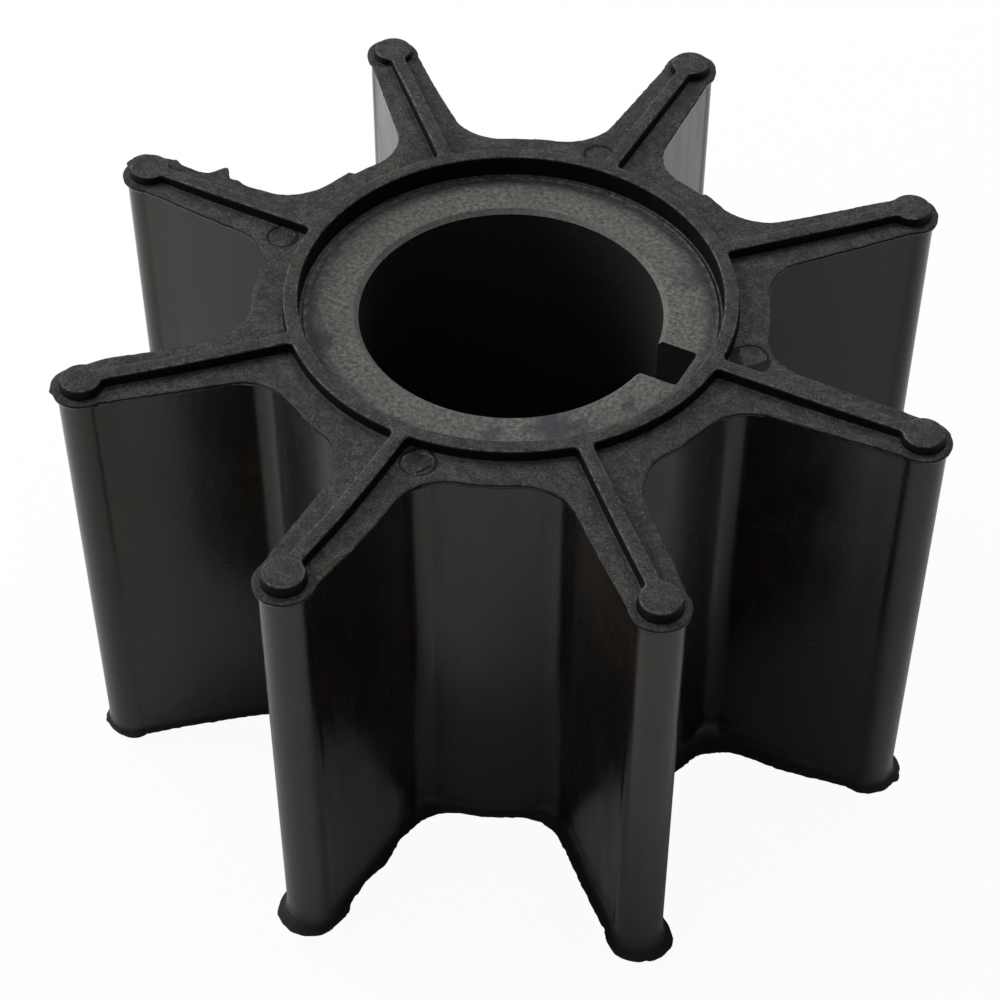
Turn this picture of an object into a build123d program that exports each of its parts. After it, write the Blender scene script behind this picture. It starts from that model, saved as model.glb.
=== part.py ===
from build123d import *
import os

# Flexible-vane pump impeller: a rubber star with eight round-tipped vanes,
# moulded onto a keyed hub bushing.  Millimetres, +Z along the shaft axis,
# origin on the axis in the plane the lower sealing beads rest on.  The first
# vane and the keyway both point along +X, and the two ends mirror each other.

# ---- Overall ----
overall_diameter = 57.0
overall_height = 33.0
vane_count = 8

# ---- Hub bushing ----
bore_diameter = 19.05
bushing_diameter = 25.4
bushing_recess = 1.5          # bushing end below the sealing beads
bore_chamfer = 0.3
keyway_width = 3.18
keyway_floor_wall = 0.65      # metal left between the keyway floor and the rubber
keyway_mouth_radius = 0.35
keyway_floor_radius = 0.25
groove_count = 12             # grip for the rubber around the outside of the bushing
groove_depth = 0.5
groove_end_margin = 3.0       # plain band left at each end to seal the bond

# ---- Rubber star ----
hub_ledge = 1.55              # flat end face outside the lip ring, between two vanes
vane_root_thickness = 4.1     # where the vane leaves the bushing
vane_neck_thickness = 2.5     # where the vane enters its round tip
tip_diameter = 3.0
root_fillet = 3.4
flash_overhang = 0.3          # parting-line lip around both end faces
flash_thickness = 0.4

# ---- Sealing beads on both end faces ----
bead_height = 0.8
lip_width = 1.0
well_margin = 0.5             # floor of rubber between the bushing and the lip ring
rib_width = 1.05
button_diameter = 2.5

# ---- Ejector marks on the upper end face, beside every second rib ----
vanes_per_mark = 2
mark_diameter = 2.0
mark_lip_gap = 0.1            # between the mark and the lip ring
mark_angle = 6.0              # anticlockwise from the rib the mark stands beside
mark_depth = 0.15

# ---- Sizes that follow from the ones above ----
lower_face = bead_height                      # end faces of the star
upper_face = overall_height - bead_height
tip_distance = (overall_diameter - tip_diameter) / 2
lip_inner_diameter = bushing_diameter + 2 * well_margin
lip_outer_diameter = lip_inner_diameter + 2 * lip_width
hub_diameter = lip_outer_diameter + 2 * hub_ledge
mark_distance = (lip_outer_diameter + mark_diameter) / 2 + mark_lip_gap
bushing_length = overall_height - 2 * bushing_recess
bushing_end = overall_height - bushing_recess
keyway_reach = bushing_diameter / 2 - keyway_floor_wall


def at_height(z):
    return Plane.XY.offset(z)


def mirrored_pair(upper_part):
    """The upper feature together with its twin on the lower end."""
    middle = at_height(overall_height / 2)
    return upper_part + mirror(upper_part, about=middle)


def star_plan(growth=0.0):
    """Hub disc with tapered, round-tipped vanes that run into it over root fillets."""
    root_half = vane_root_thickness / 2 + growth
    neck_half = vane_neck_thickness / 2 + growth
    with BuildSketch() as plan:
        Circle(hub_diameter / 2 + growth)
        with PolarLocations(0, vane_count):
            Polygon(
                (bushing_diameter / 2, -root_half),
                (tip_distance, -neck_half),
                (tip_distance, neck_half),
                (bushing_diameter / 2, root_half),
                align=None,
            )
        with PolarLocations(tip_distance, vane_count):
            Circle(tip_diameter / 2 + growth)
        roots = plan.vertices().filter_by(
            lambda corner: abs(Vector(*corner).length - hub_diameter / 2 - growth) < 0.001
        )
        fillet(roots, root_fillet - growth)
    return plan.sketch


def bead_plan():
    """Lip ring around the hub, a rib along each vane and a button on each tip."""
    with BuildSketch() as plan:
        Circle(lip_outer_diameter / 2)
        with PolarLocations(tip_distance / 2, vane_count):
            Rectangle(tip_distance, rib_width)
        with PolarLocations(tip_distance, vane_count):
            Circle(button_diameter / 2)
        Circle(lip_inner_diameter / 2, mode=Mode.SUBTRACT)
    return plan.sketch


def bushing_blank():
    """Bushing without bore or keyway: the shape the rubber is moulded around."""
    blank = extrude(
        at_height(bushing_recess) * Circle(bushing_diameter / 2),
        amount=bushing_length,
    )
    groove_side = groove_depth * 2**0.5
    with BuildSketch(at_height(bushing_recess + groove_end_margin)) as grooves:
        with PolarLocations(bushing_diameter / 2, groove_count, start_angle=180 / groove_count):
            Rectangle(groove_side, groove_side, rotation=45)
    return blank - extrude(grooves.sketch, amount=bushing_length - 2 * groove_end_margin)


def bushing():
    """Keyed metal bushing that carries the rubber on the shaft."""
    with BuildSketch() as opening:
        Circle(bore_diameter / 2)
        with Locations((keyway_reach / 2, 0)):
            Rectangle(keyway_reach, keyway_width)
        corners = opening.vertices()
        floor = corners.filter_by(lambda corner: corner.X > keyway_reach - 0.001)
        mouth = corners.filter_by(
            lambda corner: abs(Vector(*corner).length - bore_diameter / 2) < 0.001
            and abs(abs(corner.Y) - keyway_width / 2) < 0.001
        )
        fillet(floor, keyway_floor_radius)
        fillet(mouth, keyway_mouth_radius)
    shape = bushing_blank() - extrude(opening.sketch, amount=overall_height)
    chamfer_tool = Cone(
        bottom_radius=bore_diameter / 2,
        top_radius=bore_diameter / 2 + bore_chamfer,
        height=bore_chamfer,
        align=(Align.CENTER, Align.CENTER, Align.MAX),
    )
    return shape - mirrored_pair(Pos(0, 0, bushing_end) * chamfer_tool)


def rubber_star():
    """Vanes, hub and sealing beads, moulded in one piece around the bushing."""
    body = extrude(
        at_height(lower_face) * star_plan(),
        amount=upper_face - lower_face,
    )
    flash = extrude(
        at_height(upper_face - flash_thickness) * star_plan(flash_overhang),
        amount=flash_thickness,
    )
    beads = extrude(at_height(upper_face) * bead_plan(), amount=bead_height)
    well = extrude(
        at_height(bushing_end) * Circle(lip_inner_diameter / 2),
        amount=bushing_recess,
    )
    with BuildSketch(at_height(upper_face)) as marks:
        with PolarLocations(mark_distance, vane_count // vanes_per_mark, start_angle=mark_angle):
            Circle(mark_diameter / 2)
    mark_recesses = extrude(marks.sketch, amount=-mark_depth)

    star = body + mirrored_pair(flash) + mirrored_pair(beads) - mirrored_pair(well) - bushing_blank()
    return star - mark_recesses


hub_bushing = bushing()
impeller_rubber = rubber_star()

os.makedirs("parts", exist_ok=True)
export_step(hub_bushing, "parts/hub_bushing.step")
export_step(impeller_rubber, "parts/impeller_rubber.step")
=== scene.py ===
import math
from typing import NamedTuple

import bmesh
import bpy
import numpy as np
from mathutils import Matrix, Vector, noise


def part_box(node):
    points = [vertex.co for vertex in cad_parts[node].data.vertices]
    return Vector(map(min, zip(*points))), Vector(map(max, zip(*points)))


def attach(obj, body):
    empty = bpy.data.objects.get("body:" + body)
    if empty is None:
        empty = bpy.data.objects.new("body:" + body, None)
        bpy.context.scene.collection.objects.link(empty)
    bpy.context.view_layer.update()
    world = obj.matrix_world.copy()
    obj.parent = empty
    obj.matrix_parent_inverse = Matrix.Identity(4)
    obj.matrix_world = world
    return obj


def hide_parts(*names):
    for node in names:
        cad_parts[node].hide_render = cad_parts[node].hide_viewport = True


# Looks of a flexible-vane pump impeller: a rubber star moulded on a metal hub
# bushing.  The CAD bushing stays and gets a worn metal surface.  The CAD star
# is replaced by the same form with rounded bead edges, ragged moulding flash,
# walls that stand back below the flash, slightly uneven vanes and scuffed
# rubber.
#
# Lengths are millimetres up to the point where "* mm" makes them metres.  Vane
# 1 stands at 135 degrees in the plan and the others follow it clockwise.  Side
# +1 of a vane is its anticlockwise side, and -1 its clockwise side.

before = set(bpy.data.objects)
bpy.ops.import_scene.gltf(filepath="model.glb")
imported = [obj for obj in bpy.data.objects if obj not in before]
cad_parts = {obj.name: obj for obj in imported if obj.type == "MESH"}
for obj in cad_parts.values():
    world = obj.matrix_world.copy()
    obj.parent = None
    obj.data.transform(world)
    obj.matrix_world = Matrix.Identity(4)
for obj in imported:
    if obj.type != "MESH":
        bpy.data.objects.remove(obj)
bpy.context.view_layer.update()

mm = 0.001
vane_count = 8
first_vane_angle = 135        # degrees

# ---- Sizes that follow the CAD part ----
overall_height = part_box("impeller_rubber")[1].z / mm
bushing_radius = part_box("hub_bushing")[1].x / mm
well_depth = overall_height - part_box("hub_bushing")[1].z / mm
bead_height = 0.8

# ---- Outline of the two end faces, measured in the photo ----
tip_distance = 26.85
tip_radius = 1.6
neck_half = 1.47
neck_blend = 0.8
root_half = 2.15
root_blend = 3.5
hub_radius = 15.95

# ---- Outline of the walls: behind the flash, and in tighter corners at the hub ----
wall_tip_radius = 1.53
wall_neck_blend = 1.5
wall_root_half = 1.75
wall_root_blend = 1.5
draft = 0.04                  # the walls stand this much further out at the lower end

# ---- Sealing beads of both ends: buttons, ribs and the lip ring ----
button_distance = 26.85
button_radius = 1.35
button_blend = 0.25
button_slope = 0.08           # how far the walls of a button lean in
rib_half = 0.525
rib_slope = 0.05
lip_outer = 14.2              # radii of the lip ring
lip_inner = 13.2
lip_blend = 0.3
foot_radius = 0.10            # where a bead rises from the end face
crest_radius = 0.18           # rounded edges of the bead crests
crown = 0.03                  # height of a crest's middle above its edges
crown_rim = (0.06, 0.7)       # its outermost row: way inside the rounded edge, share of the drop

# ---- Rubber on the end of the bushing: a fine ridge, then a thin film ----
ridge_profile = [                                         # radius, height
    (13.02, 0.0), (12.98, 0.06), (12.93, 0.09), (12.88, 0.06), (12.84, 0.02),
]
film_radius = 12.52
film_height = 0.03
film_rough = 0.07             # how far its edge wanders
film_noise_radius = 12.5      # circle on which the noise of that edge is read
film_profile = [(0.04, 1.0), (0.0, 0.5), (0.01, 0.0)]     # behind its edge, share of its height
film_bite = 0.01              # how deep its underside lies in the metal


# ---- Moulding flash along the parting lines of the two ends ----
class Flash(NamedTuple):
    reach: float
    rough: float              # raggedness of the reach
    thickness: float
    seed: float               # of the noise
    flare: list               # from the wall: share of the way out, distance from the flash
    lumps: list               # vane, side, distance from the axis, half width, added reach


upper_flash = Flash(reach=0.20, rough=0.05, thickness=0.34, seed=3.0, flare=[
    (0.0, 0.20), (0.0, 0.03), (0.1, 0.0),
], lumps=[
    (1, -1, 16.3, 1.5, 0.12),
    (1, -1, 23.0, 4.0, -0.15),
    (1, -1, 27.6, 0.6, -0.12),
    (1, +1, 28.2, 0.5, 0.12),
    (2, +1, 16.6, 1.5, 0.20),
    (2, -1, 28.35, 0.35, 0.15),
    (2, +1, 28.2, 0.6, 0.20),
    (3, +1, 16.4, 1.6, 0.35),
    (3, +1, 28.0, 0.4, 0.15),
    (5, -1, 24.0, 4.0, 0.10),
    (5, +1, 17.0, 1.2, 0.25),
    (5, +1, 24.0, 4.0, 0.10),
    (6, -1, 17.0, 1.2, 0.25),
    (6, -1, 23.0, 4.0, 0.15),
    (6, +1, 23.0, 4.0, 0.15),
    (7, -1, 24.8, 2.2, 0.32),
    (7, -1, 28.2, 0.6, 0.16),
    (8, -1, 17.0, 2.0, 0.25),
    (8, -1, 16.2, 0.9, 0.20),
    (8, -1, 21.4, 0.5, 0.30),
    (8, -1, 22.7, 0.55, 1.20),
    (8, -1, 24.3, 0.4, -0.12),
    (8, -1, 26.2, 0.45, 0.40),
    (8, -1, 28.1, 0.5, 0.42),
])
lower_flash = Flash(reach=0.43, rough=0.09, thickness=0.30, seed=11.0, flare=[
    (0.0, 1.4), (0.10, 0.6), (0.45, 0.1),
], lumps=[
    (4, -1, 16.8, 2.0, 0.55),
    (4, -1, 21.8, 3.2, 0.42),
    (4, -1, 28.3, 0.8, -0.10),
    (4, +1, 28.0, 0.8, 0.18),
    (5, -1, 24.0, 3.5, 0.07),
    (5, +1, 16.0, 1.5, 0.45),
    (5, +1, 28.2, 0.8, 0.36),
    (5, -1, 28.2, 0.8, 0.22),
    (6, -1, 28.2, 0.8, 0.22),
    (6, +1, 28.2, 0.8, 0.25),
    (6, +1, 19.6, 0.9, -0.22),
    (6, +1, 21.7, 0.5, 0.10),
    (6, +1, 23.6, 1.0, -0.14),
    (6, +1, 26.2, 0.7, 0.32),
    (7, +1, 22.5, 5.0, -0.36),
    (7, +1, 27.8, 1.2, -0.30),
    (7, -1, 28.3, 0.6, -0.15),
])
least_reach = 0.03            # at the thinnest spots
coarse_share = 0.3            # coarse waves in the reach, beside the fine ones
thickness_rough = 0.35        # share by which the thickness wanders
# rounded brim from the wall to the end face: how far each row stands back where the flash
# reaches out by brim_reach, and its share of the thickness
brim_reach = 0.3
brim_profile = [(0.04, 0.88), (0.01, 0.62), (0.0, 0.38), (0.03, 0.14), (0.10, 0.02)]
rows_to_widest = 6            # of the flare and the brim, up to the row that stands back by 0
face_start = 0.3              # share of the reach at which the flat end face starts
face_rough = 0.02             # waviness of the end face

# ---- Ejector marks on the upper end ----
mark_depth = 0.15
mark_edge = 0.3               # width of the slope around a mark
# vane, distance along it, offset anticlockwise of it, radius, widest part of the rim's gap
# (degrees from the vane), width of the gap there
ejector_marks = [
    (2, 15.6, 1.5, 0.95, 215, 0.25),
    (4, 15.3, 2.15, 1.05, 215, 0.40),
    (4, 15.3, 2.15, 1.05, 320, 0.50),
    (6, 15.1, 1.7, 1.07, 75, 0.15),
    (8, 15.75, 1.3, 0.95, 165, 0.25),
]
gap_inset = 0.06              # the gap's middle lies this far inside the mark's radius
gap_least = 0.07              # narrowest width of the gap
gap_wobble = 0.12
# a crack in the end face: vane, its two ends (along the vane, beside it), width
end_crack = (6, (14.95, 2.6), (15.9, 2.0), 0.12)
crack_wobble = 0.1

# ---- Unevenness of vanes 1 to 8 ----
vane_turns = [0.0, 0.0, 0.42, 0.45, 0.25, -0.9, -0.65, -0.4]      # degrees
vane_reaches = [-0.1, -0.05, 0.25, 0.3, -0.1, -0.05, 0.1, -0.15]
bead_shares = [0.7, 0.85, 0.88, 0.85, 1.0, 1.0, 0.92, 0.8]        # of the bead height, at the tip
uneven_start = 16.0           # distance from the axis at which a vane's unevenness starts
uneven_length = 9.0           # and how much further out it is complete

# ---- Bluish smears on the end of the bushing ----
smear_fray = 5.0              # how strongly their edges wander
# x, y, radius, depth of colour
smears = [
    (7.3, -8.4, 2.0, 0.75),
    (4.1, -10.5, 0.9, 0.6),
    (8.7, -7.1, 1.0, 0.5),
    (-9.1, -8.1, 1.3, 0.8),
    (8.8, 7.7, 1.2, 0.6),
    (10.3, -4.4, 0.6, 0.7),
]

# ---- Fineness of the star's mesh ----
section_samples = 200         # points that describe each section of an outline
# columns of half a vane in each stretch from its tip to the middle of the pocket: around
# the button, button neck, rib, end of the rib, start of the lip, rest of the lip
stretch_columns = [16, 3, 34, 12, 10, 8]
lip_stretch = 4               # the first of them on the lip
rib_end_length = 1.9
lip_start_length = 1.2
root_share = 0.45             # part of the root's curve that lies beside the end of the rib
face_shares = (0.08, 0.95)    # first and last row of the flat end face on its way to the bead
face_row_count = 4
marked_face_row_count = 10    # on the end with the ejector marks
wall_spans = 6
rib_stop = 0.1                # gap between the lip and the end of a rib's middle line
edge_support = 0.1            # distance of the rows that keep a rounded edge crisp


# ================= Rubber star =================
def turned(vectors, angle):
    """Vectors of the plan, turned anticlockwise by an angle in radians."""
    c, s = math.cos(angle), math.sin(angle)
    return vectors @ np.array([[c, s], [-s, c]])


def moved(places, normals, distance):
    """Places moved along their normals by a distance that may differ between them."""
    return places + np.multiply(normals.T, distance).T


def angle_of(vector):
    return math.atan2(vector[1], vector[0])


def vane_angle(vane):
    """Direction of a vane in the plan, in degrees."""
    return first_vane_angle - 360 / vane_count * (vane - 1)


def beside_vane(vane, along, aside):
    """Place in the plan at a distance along a vane and an offset anticlockwise of it."""
    return turned(np.array([along, aside]), math.radians(vane_angle(vane)))


def arc(centre, radius, start, end, inside=False):
    """Points along an arc, with normals that point out of the material."""
    angles = np.linspace(start, end, section_samples)
    spokes = np.stack([np.cos(angles), np.sin(angles)], axis=1)
    return centre + radius * spokes, -spokes if inside else spokes


def straight(start, end, normal):
    """Points along a line, which all have one normal."""
    shares = np.linspace(0, 1, section_samples)[:, None]
    return start + shares * (end - start), np.repeat([normal], section_samples, axis=0)


def blend_centre(circle_centre, circle_radius, line_point, line_normal, blend, side):
    """Centre of the arc that eases a line into a circle, outside both of them."""
    along = np.array([line_normal[1], -line_normal[0]])
    rise = line_normal @ (line_point - circle_centre) + blend
    run = math.sqrt((circle_radius + blend) ** 2 - rise**2)
    return circle_centre + rise * line_normal + side * run * along


class Outline:
    """Half of one arm and of the ring that carries it, from the tip to mid pocket."""

    def __init__(self, end_distance, end_radius, end_blend, half_end, half_root,
                 ring_radius, ring_blend):
        tip = np.array([end_distance, 0.0])
        axis = np.zeros(2)
        outer = np.array([end_distance, half_end])
        inner = np.array([bushing_radius, half_root])
        run = (outer - inner) / np.linalg.norm(outer - inner)
        normal = np.array([-run[1], run[0]])
        end_centre = blend_centre(tip, end_radius, outer, normal, end_blend, -1)
        ring_centre = blend_centre(axis, ring_radius, outer, normal, ring_blend, +1)
        down = angle_of(-normal)
        sections = [
            arc(tip, end_radius, 0.0, angle_of(end_centre - tip)),
            arc(end_centre, end_blend, angle_of(tip - end_centre), down, inside=True),
            straight(end_centre - end_blend * normal, ring_centre - ring_blend * normal, normal),
            arc(ring_centre, ring_blend, down, angle_of(-ring_centre), inside=True),
            arc(axis, ring_radius, angle_of(ring_centre), math.pi / vane_count),
        ]
        self.points = np.concatenate([points for points, _ in sections])
        self.normals = np.concatenate([normals for _, normals in sections])
        steps = np.linalg.norm(np.diff(self.points, axis=0), axis=1)
        self.lengths = np.concatenate([[0.0], np.cumsum(steps)])
        self.section_ends = self.lengths[section_samples - 1::section_samples]

    def at(self, places):
        """Points and normals at places that are given as lengths from the tip."""
        x, y, nx, ny = (np.interp(places, self.lengths, values)
                        for values in (*self.points.T, *self.normals.T))
        normals = np.stack([nx, ny], axis=1)
        return np.stack([x, y], axis=1), normals / np.linalg.norm(normals, axis=1)[:, None]

    def stretch_ends(self):
        """Lengths between which the columns of a body or wall outline are spread."""
        tip_end, neck_end, flank_end, root_end, last = self.section_ends
        root_middle = (1 - root_share) * flank_end + root_share * root_end
        return [0, tip_end, neck_end, flank_end, root_middle, root_end, last]


def whole_vane(half):
    """Values on both sides of a vane, from those on its anticlockwise side."""
    return np.concatenate([half[:0:-1], half[:-1]])


def mirrored_vane(half):
    """Places or directions on both sides of a vane, from those on its anticlockwise side."""
    return np.concatenate([(half * (1.0, -1.0))[:0:-1], half[:-1]])


class Columns:
    """Places that belong together, in columns around the star, anticlockwise.

    Each column has a place on the outline of the end faces, on the outline of the walls,
    at the foot of the bead and in the middle of the bead."""

    def __init__(self):
        body = Outline(tip_distance, tip_radius, neck_blend, neck_half, root_half,
                       hub_radius, root_blend)
        wall = Outline(tip_distance, wall_tip_radius, wall_neck_blend, neck_half,
                       wall_root_half, hub_radius, wall_root_blend)
        bead = Outline(button_distance, button_radius, button_blend, rib_half, rib_half,
                       lip_outer, lip_blend)
        button_end, rib_start, rib_end, corner_end, bead_end = bead.section_ends
        bead_ends = [0, button_end, rib_start, rib_end - rib_end_length,
                     (rib_end + corner_end) / 2, corner_end + lip_start_length, bead_end]

        ends = range(len(stretch_columns) + 1)
        stations = [np.linspace(i, i + 1, count, endpoint=False)
                    for i, count in enumerate(stretch_columns)]
        stations = np.concatenate(stations + [[len(stretch_columns)]])
        bead_at = np.interp(stations, ends, bead_ends)
        outline, out_normal = body.at(np.interp(stations, ends, body.stretch_ends()))
        wall, wall_normal = wall.at(np.interp(stations, ends, wall.stretch_ends()))
        foot, foot_normal = bead.at(bead_at)
        slope = np.interp(stations, [1, 2], [button_slope, rib_slope])

        # the middle of the bead follows the rib's axis, and then the crest of the lip
        on_lip = stations >= lip_stretch
        share = (bead_at - bead_ends[lip_stretch]) / (bead_end - bead_ends[lip_stretch])
        spin = np.where(on_lip, share, 0.0) * math.pi / vane_count
        spoke = np.stack([np.cos(spin), np.sin(spin)], axis=1)
        rib_x = np.clip(foot[:, 0], lip_outer + rib_stop, button_distance)
        rib_middle = np.stack([rib_x, np.zeros_like(rib_x)], axis=1)
        middle = np.where(on_lip[:, None], (lip_inner + crest_radius) * spoke, rib_middle)

        vanes = range(vane_count, 0, -1)

        def around(half):
            one = mirrored_vane(half)
            turns = [math.radians(vane_angle(vane)) for vane in vanes]
            return np.concatenate([turned(one, turn) for turn in turns])

        self.outline, self.out_normal = around(outline), around(out_normal)
        self.wall, self.wall_normal = around(wall), around(wall_normal)
        self.foot, self.foot_normal = around(foot), around(foot_normal)
        self.middle, self.spoke = around(middle), around(spoke)
        self.on_lip = np.tile(whole_vane(on_lip), vane_count)
        self.slope = np.tile(whole_vane(slope), vane_count)
        per_vane = len(whole_vane(stations))
        self.vane = np.repeat(vanes, per_vane)
        self.flank = np.tile(np.where(np.arange(per_vane) < per_vane / 2, -1, 1), vane_count)

    def edge(self, out):
        """Outline of an end face, moved outwards."""
        return moved(self.outline, self.out_normal, out)

    def side(self, out):
        """Outline of the walls, moved outwards."""
        return moved(self.wall, self.wall_normal, out)

    def bead(self, out):
        """Foot of the beads, moved away from their middle."""
        return moved(self.foot, self.foot_normal, out)

    def ring(self, radius):
        """Circle about the axis, of use on the lip alone."""
        return np.multiply(self.spoke.T, radius).T


def speckle(points, scale, seed):
    """Smooth noise of about -1 to 1 at each point, with bumps about scale wide."""
    return np.array([noise.noise(Vector((*(p / scale), seed))) for p in points])


def flash_reach(columns, flash):
    """How far the flash stands out at each column: ragged, with some thicker spots."""
    places = columns.outline
    coarse = speckle(places, scale=1.3, seed=flash.seed)
    fine = speckle(places, scale=0.35, seed=flash.seed + 5)
    reach = flash.reach + flash.rough * (coarse_share * coarse + fine)
    distance = np.linalg.norm(places, axis=1)
    for vane, side, lump_distance, half_width, more in flash.lumps:
        near = (columns.vane == vane) & (columns.flank == side)
        reach += near * more * np.exp(-(((distance - lump_distance) / half_width) ** 2))
    return np.maximum(reach, least_reach)


def mark_dip(points, marks):
    """How far the end face is sunk at each point by the ejector marks."""
    dip = np.zeros(len(points))
    for vane, along, aside, radius, *_ in marks:
        distance = np.linalg.norm(points - beside_vane(vane, along, aside), axis=1)
        dip = np.maximum(dip, mark_depth * np.clip((radius - distance) / mark_edge + 0.5, 0, 1))
    return dip


class Row(NamedTuple):
    """One row of points around the star, a point in each column.

    The level is one number or one a column.  It is measured into the star from the crest
    plane of the row's end, and upwards once both ends are put together."""
    plan: np.ndarray
    level: np.ndarray
    lip_only: bool = False        # whether only the columns on the lip use it


def flash_rows(columns, growth, flash, face_level):
    """Rows from the wall over the flare and the brim onto the end face."""
    ripple = speckle(columns.outline, scale=1.1, seed=flash.seed + 9)
    thickness = flash.thickness * (1 + thickness_rough * ripple)
    reach = flash_reach(columns, flash)
    wall, brim = columns.side(growth), columns.edge(growth + reach)
    rows = [Row(wall + share * (brim - wall), bead_height + thickness + way)
            for share, way in flash.flare]
    rows += [Row(columns.edge(growth + reach * (1 - back / brim_reach)),
                 bead_height + share * thickness)
             for back, share in brim_profile]
    return rows + [Row(columns.edge(growth + reach * face_start), face_level)]


def face_rows(columns, growth, face_level, marks):
    """Rows over the end face, from its edge to the foot of the bead."""
    rows = []
    for share in np.linspace(*face_shares, marked_face_row_count if marks else face_row_count):
        place = share * columns.bead(foot_radius) + (1 - share) * columns.edge(growth)
        level = bead_height + (face_level - bead_height) * (1 - share) + mark_dip(place, marks)
        rows.append(Row(place, level))
    return rows


def bead_rows(columns):
    """Rows from the foot of the bead up its wall and over its crest to its middle."""
    rows = []
    for turn in np.radians([0, 30, 60, 90]):
        rows.append(Row(columns.bead(foot_radius * (1 - math.sin(turn))),
                        bead_height - foot_radius * (1 - math.cos(turn))))
    rows.append(Row(columns.bead(0.0), bead_height - foot_radius - edge_support))
    rows.append(Row(columns.bead(-columns.slope), crown + crest_radius + edge_support))
    for turn in np.radians([0, 22, 45, 68, 90]):
        inset = crest_radius * (1 - math.cos(turn))
        rows.append(Row(columns.bead(-columns.slope - inset),
                        crown + crest_radius * (1 - math.sin(turn))))
    behind, share = crown_rim
    rows.append(Row(columns.bead(-columns.slope - crest_radius - behind), share * crown))
    return rows + [Row(columns.middle, 0.0)]


def well_rows(columns, seed):
    """Rows from the lip's crest down its inner wall, over the film and under it."""
    rows = []

    def add(radius, level):
        rows.append(Row(columns.ring(radius), level, lip_only=True))

    for turn in np.radians([22, 45, 68, 90]):
        add(lip_inner + crest_radius * (1 - math.sin(turn)), crest_radius * (1 - math.cos(turn)))
    add(lip_inner, crest_radius + edge_support)
    add(lip_inner, well_depth - foot_radius - edge_support)
    for turn in np.radians([0, 45, 90]):
        inset, rise = foot_radius * (1 - math.cos(turn)), foot_radius * (1 - math.sin(turn))
        add(lip_inner - inset, well_depth - rise)
    for radius, rise in ridge_profile:
        add(radius, well_depth - rise)
    wander = speckle(columns.ring(film_noise_radius), scale=0.8, seed=seed)
    film_edge = film_radius + film_rough * wander
    for behind, share in film_profile:
        add(film_edge + behind, well_depth - share * film_height)
    add(bushing_radius, well_depth + film_bite)
    return rows


def end_rows(columns, growth, flash, marks=()):
    """All rows of one end, from the wall to the bushing.

    The wall stands outside the columns' outline by the growth."""
    waves = speckle(columns.outline, scale=3.0, seed=flash.seed + 2)
    face_level = bead_height + face_rough * waves
    return (flash_rows(columns, growth, flash, face_level)
            + face_rows(columns, growth, face_level, marks)
            + bead_rows(columns)
            + well_rows(columns, flash.seed + 4))


def uneven(points, vane):
    """Turns and stretches each vane, more towards its tip, and lowers its upper bead."""
    radius = np.linalg.norm(points[:, :2], axis=1)
    share = np.clip((radius - uneven_start) / uneven_length, 0, 1) ** 2
    turn = np.radians(np.array(vane_turns))[vane - 1] * share
    grow = 1 + np.array(vane_reaches)[vane - 1] * share / radius
    x, y = points[:, 0] * grow, points[:, 1] * grow
    above = np.maximum(points[:, 2] - overall_height + bead_height, 0)
    z = points[:, 2] - above * share * (1 - np.array(bead_shares)[vane - 1])
    return np.stack(
        [x * np.cos(turn) - y * np.sin(turn), x * np.sin(turn) + y * np.cos(turn), z], axis=1
    )


def star_rows(columns):
    """All rows from the bushing over the upper end, down the walls, over the lower end and
    back to the first.  Also gives how many of them lie on the upper end inside its brim."""
    upper = end_rows(columns, 0.0, upper_flash, ejector_marks)[::-1]
    lower = end_rows(columns, draft, lower_flash)
    rows = [row._replace(level=overall_height - row.level) for row in upper]
    top, bottom = rows[-1].level, lower[0].level
    for share in np.linspace(0, 1, wall_spans + 1)[1:-1]:
        rows.append(Row(columns.side(share * draft), top + share * (bottom - top)))
    return rows + lower + rows[:1], len(upper) - rows_to_widest


def merge_twins(mesh):
    """Merges points within 0.0001 mm, and drops what that leaves flat or loose."""
    work = bmesh.new()
    work.from_mesh(mesh)
    bmesh.ops.remove_doubles(work, verts=work.verts, dist=1e-7)
    bmesh.ops.dissolve_degenerate(work, edges=work.edges, dist=1e-8)
    loose = [v for v in work.verts if not v.link_faces]
    bmesh.ops.delete(work, geom=loose, context="VERTS")
    work.to_mesh(mesh)
    work.free()


def rubber_mesh():
    """Closed mesh of the star.

    Material 0 covers the upper end out to the brim of its flash, and material 1 the rest."""
    columns = Columns()
    rows, end_row_count = star_rows(columns)
    count = len(columns.vane)
    grid = []
    for row in rows:
        level = np.broadcast_to(row.level, count)[:, None]
        grid.append(uneven(np.concatenate([row.plan, level], axis=1), columns.vane))
    points = np.concatenate(grid) * mm

    # on the lip the columns beside a rib meet in its middle, so no face joins them there
    every = np.arange(count)
    after = np.roll(every, -1)
    on_lip = every[columns.on_lip & columns.on_lip[after]]
    faces, materials = [], []
    for i in range(len(rows) - 1):
        j = on_lip if rows[i].lip_only or rows[i + 1].lip_only else every
        this, following = i * count, (i + 1) * count
        quads = [this + j, following + j, following + after[j], this + after[j]]
        faces.append(np.stack(quads, axis=1))
        materials += [0 if i < end_row_count else 1] * len(j)
    mesh = bpy.data.meshes.new("rubber_star")
    mesh.from_pydata(points.tolist(), [], np.concatenate(faces).tolist())
    mesh.polygons.foreach_set("material_index", materials)
    merge_twins(mesh)
    mesh.shade_smooth()
    return mesh


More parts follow.
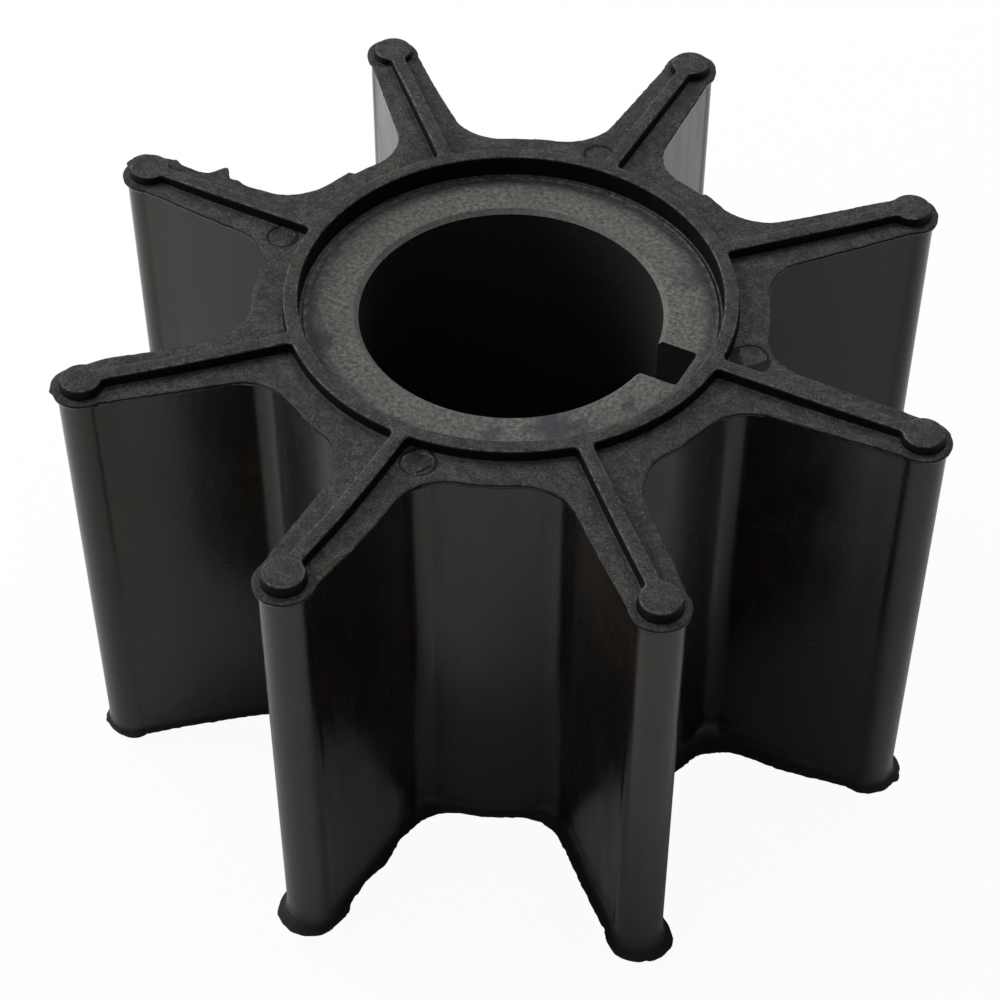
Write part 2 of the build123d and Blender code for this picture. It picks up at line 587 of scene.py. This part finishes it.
# ================= Materials =================
# ---- Colours, linear ----
end_dark = (0.054, 0.055, 0.054, 1)
end_light = (0.083, 0.082, 0.078, 1)
end_rust = (0.093, 0.071, 0.058, 1)
end_patch = (0.023, 0.023, 0.022, 1)
end_pore = (0.012, 0.012, 0.012, 1)
end_dust = (0.251, 0.245, 0.232, 1)
# pale rubbing on the crest edges, partly a painted highlight
end_wear_and_highlight = (0.17, 0.166, 0.155, 1)
# painted shade inside the gaps and the crack of the upper end
end_gap_shade = (0.003, 0.003, 0.003, 1)
# painted shade: the walls of the upper end's beads are painted near black
bead_wall_shade = (0.0015, 0.0015, 0.0015, 1)
side_dark = (0.0040, 0.0040, 0.0043, 1)
side_light = (0.0080, 0.0074, 0.0070, 1)
side_rust = (0.0250, 0.0155, 0.0095, 1)
# pores of the grain; also the black lower flash and the painted shade at the foot of the walls
side_pore_and_shade = (0.0020, 0.0020, 0.0020, 1)
side_dust = (0.15, 0.147, 0.14, 1)
side_tint = (1.0, 0.95, 0.86, 1)      # of its reflections
metal_dark = (0.028, 0.027, 0.025, 1)
metal_light = (0.195, 0.186, 0.172, 1)
metal_dull = (0.055, 0.053, 0.050, 1)
metal_smear = (0.016, 0.020, 0.030, 1)
metal_rim = (0.018, 0.020, 0.025, 1)
# painted light on the chamfers of the bushing's ends
metal_bevel_light = (0.17, 0.162, 0.15, 1)
# painted shade on the walls of the bore and keyway
metal_bore_shade = (0.006, 0.006, 0.0055, 1)

# ---- Heights and radii between which a look fades in or out ----
end_face = overall_height - bead_height
bead_foot = end_face + foot_radius    # where the rounded feet of the upper beads end
foot_wear = (0.13, 0.18)              # distance from there at which wear starts
gap_floor = (end_face - 0.5, end_face - 0.4)      # the gaps are cut into the end face alone
gap_ceiling = (end_face + 0.2, end_face + 0.1)
upper_rust = (24, 32)
lower_black_and_shade = (2.1, 1.25)             # the lower flash, black rubber, and painted shade at the foot of its flare; both also dull
dark_rim = (bushing_radius - 0.8, bushing_radius - 0.2)      # on the end of the bushing


class Nodes:
    """Short names for building one node material."""

    def __init__(self, name):
        self.material = bpy.data.materials.new(name)
        self.material.use_nodes = True
        self.tree = self.material.node_tree
        self.shader = self.tree.nodes["Principled BSDF"]
        self.place = self.add("ShaderNodeTexCoord").outputs["Object"]
        self.height = self.split(self.place)["Z"]
        normal = self.add("ShaderNodeNewGeometry").outputs["Normal"]
        self.facing_up = self.split(normal)["Z"]

    def add(self, kind, **inputs):
        node = self.tree.nodes.new(kind)
        for name, value in inputs.items():
            self.feed(node.inputs[name.replace("_", " ")], value)
        return node

    def feed(self, socket, value):
        if isinstance(value, bpy.types.NodeSocket):
            self.tree.links.new(value, socket)
        else:
            socket.default_value = value

    def surface(self, **inputs):
        """Feeds the shader, and gives the finished material."""
        for name, value in inputs.items():
            self.feed(self.shader.inputs[name.replace("_", " ")], value)
        return self.material

    def split(self, vector):
        return self.add("ShaderNodeSeparateXYZ", Vector=vector).outputs

    def noise(self, size, detail=4.0, roughness=0.55, distortion=0.0, squash=1.0):
        """Cloudy pattern of 0 to 1, with clouds about size millimetres wide.

        A squash under 1 draws the clouds out into upright streaks."""
        place = self.vector("MULTIPLY", self.place, (1, 1, squash))
        return self.add("ShaderNodeTexNoise", Vector=place, Scale=1 / (size * mm),
                        Detail=detail, Roughness=roughness, Distortion=distortion).outputs["Fac"]

    def ramp(self, value, low, high, start=0.0, end=1.0):
        """Goes from start to end while the value goes from low to high, and no further."""
        node = self.add("ShaderNodeMapRange", Value=value)
        ranges = {"From Min": low, "From Max": high, "To Min": start, "To Max": end}
        for name, number in ranges.items():
            self.feed(node.inputs[name], number)
        return node.outputs["Result"]

    def math(self, operation, a, b=0.5):
        node = self.add("ShaderNodeMath")
        node.operation = operation
        self.feed(node.inputs[0], a)
        self.feed(node.inputs[1], b)
        return node.outputs[0]

    def times(self, product, *others):
        """Product of two or more values."""
        for other in others:
            product = self.math("MULTIPLY", product, other)
        return product

    def mix(self, share, a, b):
        """Colour that goes from a to b."""
        node = self.add("ShaderNodeMix")
        node.data_type = "RGBA"
        for socket, value in ((0, share), (6, a), (7, b)):    # 6 and 7 are the colours
            self.feed(node.inputs[socket], value)
        return node.outputs[2]

    def vector(self, operation, a, b=(0, 0, 0)):
        node = self.add("ShaderNodeVectorMath")
        node.operation = operation
        self.feed(node.inputs[0], a)
        self.feed(node.inputs[1], b)
        return node.outputs["Value" if operation in ("LENGTH", "DOT_PRODUCT") else "Vector"]

    def offset(self, point):
        """Way from a point of the plan, in metres, to the shaded place, without height."""
        return self.vector("SUBTRACT", self.vector("MULTIPLY", self.place, (1, 1, 0)), (*point, 0))

    def fade(self, place, limits, start=0.0, end=1.0):
        """Ramp over a height or radius in metres, between limits in millimetres."""
        low, high = limits
        return self.ramp(place, low * mm, high * mm, start, end)

    def bump(self, height, distance, strength=1.0, below=None):
        node = self.add("ShaderNodeBump", Height=height, Distance=distance * mm, Strength=strength)
        if below is not None:
            self.feed(node.inputs["Normal"], below)
        return node.outputs["Normal"]


def rim_gap(n, mark):
    """Mask of 0 to 1 of the gap around the disc that an ejector pin left, which is painted dark as
    shade.
    """
    vane, along, aside, radius, widest, gape = mark
    way = n.offset(beside_vane(vane, along, aside) * mm)
    wobble = n.times(n.noise(0.35), gap_wobble * mm)
    distance = n.math("SUBTRACT", n.vector("LENGTH", way), wobble)
    turn = math.radians(widest + vane_angle(vane))
    toward = n.vector("DOT_PRODUCT", way, (math.cos(turn), math.sin(turn), 0))
    share = n.ramp(n.math("DIVIDE", toward, distance), 0.5, 1.0)
    width = n.ramp(share, 0.0, 1.0, gap_least * mm, gape * mm)
    off = n.math("ABSOLUTE", n.math("SUBTRACT", distance, (radius - gap_inset) * mm))
    return n.ramp(n.math("DIVIDE", off, width), 1.1, 0.6)


def crack(n, vane, start, end, width):
    """Narrow gap of 0 to 1 between two places, each along and beside a vane, which is painted dark
    as shade.
    """
    start, end = beside_vane(vane, *start) * mm, beside_vane(vane, *end) * mm
    half, way = (end - start) / 2, n.offset((start + end) / 2)
    reach = np.linalg.norm(half)
    along = n.vector("DOT_PRODUCT", way, (*half / reach, 0))
    aside = n.vector("DOT_PRODUCT", way, (-half[1] / reach, half[0] / reach, 0))
    aside = n.math("ADD", aside, n.times(n.noise(0.5), crack_wobble * mm))
    ends = n.ramp(n.math("ABSOLUTE", along), reach, 0.9 * reach)
    sides = n.ramp(n.math("ABSOLUTE", aside), width * mm, 0.4 * width * mm)
    return n.times(ends, sides)


def end_material():
    """Scuffed, matt rubber of the upper end, with painted shade on the walls of the beads and a
    painted highlight on the pale crest edges.
    """
    n = Nodes("rubber_end")
    flat = n.ramp(n.facing_up, 0.25, 0.85)
    cloud = n.noise(3.0, detail=5, roughness=0.6)
    patch = n.noise(0.9, detail=4, roughness=0.6, distortion=0.5)
    grain = n.noise(0.17, detail=3, roughness=0.7)
    specks = n.noise(0.12, detail=2, roughness=0.6)
    rust = n.ramp(n.noise(6.0, detail=4), 0.50, 0.68)

    top = n.mix(n.ramp(cloud, 0.3, 0.7), end_dark, end_light)
    top = n.mix(n.times(rust, 0.4), top, end_rust)
    top = n.mix(n.ramp(patch, 0.42, 0.58, 0.65, 0.0), top, end_patch)
    top = n.mix(n.ramp(grain, 0.36, 0.58, 0.75, 0.0), top, end_pore)
    top = n.mix(n.ramp(specks, 0.60, 0.72, 0.0, 0.42), top, end_dust)

    # the rounded edges of the crests are worn pale and carry a painted highlight, and those at the
    # feet of the beads aren't
    rounded = n.times(n.ramp(n.facing_up, 0.50, 0.72), n.ramp(n.facing_up, 0.985, 0.90))
    off_foot = n.math("ABSOLUTE", n.math("SUBTRACT", n.height, bead_foot * mm))
    off_foot = n.fade(off_foot, foot_wear)
    spots = n.ramp(n.noise(0.5, detail=5), 0.45, 0.62, 0.05, 0.7)
    top = n.mix(n.times(rounded, off_foot, spots), top, end_wear_and_highlight)

    # gaps around the ejector marks, and a crack, painted near black as the shade inside them
    gaps = crack(n, *end_crack)
    for mark in ejector_marks:
        gaps = n.math("MAXIMUM", gaps, rim_gap(n, mark))
    gaps = n.times(gaps, n.fade(n.height, gap_floor), n.fade(n.height, gap_ceiling))
    top = n.mix(n.times(gaps, 0.9), top, end_gap_shade)

    skin = n.bump(n.times(grain, flat), distance=0.12, strength=0.9)
    skin = n.bump(n.math("SUBTRACT", 1.0, gaps), distance=0.15, strength=0.6, below=skin)
    skin = n.bump(patch, distance=0.10, strength=0.35, below=skin)
    # faces that don't face up take the painted shade of the bead walls
    return n.surface(Base_Color=n.mix(flat, bead_wall_shade, top), Specular_IOR_Level=0.12,
                     Roughness=n.ramp(patch, 0.3, 0.7, 0.5, 0.75), Normal=skin)


def side_material():
    """Smooth dark rubber of the walls and the lower end, with rust, a fine grain, dust, a black
    lower flash and painted shade at the foot of the walls.
    """
    n = Nodes("rubber_side")
    cloud = n.noise(4.0, detail=6, roughness=0.65)
    blotches = n.noise(1.1, detail=5, roughness=0.7)
    streaks = n.noise(1.2, detail=1, squash=0.25)
    grain = n.noise(0.22, detail=3, roughness=0.6)
    dust = n.times(n.ramp(n.noise(0.11, detail=1), 0.71, 0.77), n.ramp(cloud, 0.5, 0.6))
    rust = n.ramp(n.noise(6.5, detail=3), 0.46, 0.66, 0.0, 0.7)
    rust = n.math("MAXIMUM", rust, n.fade(n.height, upper_rust, 0.0, 0.4))
    rust = n.times(rust, n.ramp(blotches, 0.38, 0.62, 0.25, 1.0))
    # the lower flash is black rubber, and the foot of the walls above it gets painted shade
    on_flash_and_shade = n.fade(n.height, lower_black_and_shade)

    side = n.mix(n.ramp(cloud, 0.35, 0.75), side_dark, side_light)
    side = n.mix(rust, side, side_rust)
    side = n.mix(n.ramp(grain, 0.35, 0.62, 0.5, 0.0), side, side_pore_and_shade)
    side = n.mix(n.times(dust, 0.7), side, side_dust)
    side = n.mix(on_flash_and_shade, side, side_pore_and_shade)
    roughness = n.math("MAXIMUM", n.ramp(streaks, 0.3, 0.7, 0.20, 0.30), n.times(on_flash_and_shade, 0.8))
    skin = n.bump(grain, distance=0.015, strength=0.5)
    skin = n.bump(blotches, distance=0.02, strength=0.3, below=skin)
    return n.surface(Base_Color=side, Specular_IOR_Level=0.45, Specular_Tint=side_tint,
                     Roughness=roughness, Normal=skin)


def metal_material():
    """Cast metal, matt and mottled on its ends, with bluish smears, a dark rim, painted light on
    its chamfers and painted shade on the walls of its bore.
    """
    n = Nodes("cast_metal")
    facing_end = n.math("ABSOLUTE", n.facing_up)
    grain = n.noise(0.30, detail=8, roughness=0.85)
    cloud = n.noise(2.4, detail=5)
    frayed = n.math("SUBTRACT", n.noise(0.9, detail=6, roughness=0.7), 0.5)
    frayed = n.times(frayed, smear_fray * mm)

    face = n.mix(n.ramp(grain, 0.42, 0.60), metal_dark, metal_light)
    face = n.mix(n.ramp(cloud, 0.45, 0.70, 0.0, 0.45), face, metal_dull)
    for x, y, radius, depth in smears:
        away = n.math("ADD", n.vector("LENGTH", n.offset((x * mm, y * mm))), frayed)
        smear = n.ramp(away, radius * mm, 0.4 * radius * mm, 0.0, depth)
        face = n.mix(smear, face, metal_smear)
    away = n.math("ADD", n.vector("LENGTH", n.offset((0, 0))), n.times(frayed, 0.4))
    face = n.mix(n.fade(away, dark_rim, 0.0, 0.75), face, metal_rim)
    # painted light: the chamfers are made paler to lift their shade
    face = n.mix(n.ramp(facing_end, 0.9, 0.75, 0.0, 0.35), face, metal_bevel_light)
    # faces that aren't ends take the painted shade of the bore
    colour = n.mix(n.ramp(facing_end, 0.3, 0.6), metal_bore_shade, face)
    return n.surface(Base_Color=colour, Specular_IOR_Level=0.4,
                     Roughness=n.ramp(grain, 0.3, 0.7, 0.5, 0.75),
                     Normal=n.bump(grain, distance=0.12, strength=0.7))


def placed(name, data):
    """New object that stands in the scene."""
    thing = bpy.data.objects.new(name, data)
    bpy.context.scene.collection.objects.link(thing)
    return thing


star = placed("rubber_star", rubber_mesh())
star.data.materials.append(end_material())
star.data.materials.append(side_material())
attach(star, "root")
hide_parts("impeller_rubber")

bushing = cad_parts["hub_bushing"]
bushing.material_slots[0].material = metal_material()


# ================= Studio =================
floor_size = 3.0              # metres
floor_grey = (0.85, 0.85, 0.85, 1)
camera_white = 0.95           # share of plain white in the floor that the camera sees
mirrored_white = 0.01         # and in the floor that the rubber mirrors
world_strength = 0.22
lamp_distance = 0.45          # metres from the middle of the object
# name, degrees anticlockwise from the camera, elevation, size in metres, power in watts
lamps = [
    ("lamp_left", -110, 30, 0.30, 1.75),
    ("lamp_back", 155, 50, 0.25, 1.00),
    ("lamp_front", -30, 45, 0.40, 0.20),
]

# ---- Camera, fitted to the photo ----
lens = 91.89
look_down = 45.97             # degrees below the horizon
camera_azimuth = -62.63       # degrees
camera_roll = 0.0024          # radians
# where the middle of the lower end face stands in the camera's own directions
sideways, upward, away = 0.654, -9.392, 181.245


def floor_material():
    """Pale floor, nearly plain white to the camera, that keeps the object's shadow."""
    n = Nodes("studio_floor")
    n.surface(Base_Color=floor_grey, Roughness=0.9)
    path = n.add("ShaderNodeLightPath").outputs
    mirrored = n.math("MAXIMUM", path["Is Glossy Ray"], path["Is Transmission Ray"])
    share = n.math("MAXIMUM", n.times(path["Is Camera Ray"], camera_white),
                   n.times(mirrored, mirrored_white))
    mix = n.add("ShaderNodeMixShader")
    white = n.add("ShaderNodeEmission")
    for socket, value in enumerate((share, n.shader.outputs[0], white.outputs[0])):
        n.feed(mix.inputs[socket], value)
    n.feed(n.tree.nodes["Material Output"].inputs["Surface"], mix.outputs[0])
    return n.material


def add_lamp(name, turn, elevation, size, power):
    """Square lamp that faces the middle of the object."""
    azimuth, height = math.radians(camera_azimuth + turn), math.radians(elevation)
    aim = Vector((math.cos(azimuth) * math.cos(height), math.sin(azimuth) * math.cos(height),
                  math.sin(height)))
    lamp = placed(name, bpy.data.lights.new(name, "AREA"))
    lamp.data.shape = "SQUARE"
    lamp.data.size = size
    lamp.data.energy = power
    lamp.location = Vector((0, 0, overall_height * mm / 2)) + lamp_distance * aim
    lamp.rotation_euler = aim.to_track_quat("Z", "Y").to_euler()


def add_camera():
    """Camera that sees the object as the photo does."""
    camera = placed("camera", bpy.data.cameras.new("camera"))
    camera.data.sensor_width = 36
    camera.data.lens = lens
    camera.data.clip_start = 0.01
    tilt, swing = math.radians(look_down), math.radians(camera_azimuth + 90)
    forward = Vector((0, math.cos(tilt), -math.sin(tilt)))
    up = Vector((0, math.sin(tilt), math.cos(tilt)))
    spot = -(sideways * Vector((1, 0, 0)) + upward * up + away * forward)
    spot += Vector((0, 0, bead_height))
    camera.location = Vector((*turned(np.array(spot.xy), swing), spot.z)) * mm
    camera.rotation_euler = (math.pi / 2 - tilt, 0.0, swing)
    camera.rotation_euler.rotate_axis("Z", camera_roll)
    return camera


bpy.ops.mesh.primitive_plane_add(size=floor_size)
floor = bpy.context.object
floor.name = "floor"
floor.data.materials.append(floor_material())

scene = bpy.context.scene
scene.world = scene.world or bpy.data.worlds.new("studio")
scene.world.use_nodes = True
background = scene.world.node_tree.nodes["Background"]
background.inputs["Color"].default_value = (1, 1, 1, 1)
background.inputs["Strength"].default_value = world_strength

for settings in lamps:
    add_lamp(*settings)
scene.camera = add_camera()
scene.view_settings.view_transform = "Standard"
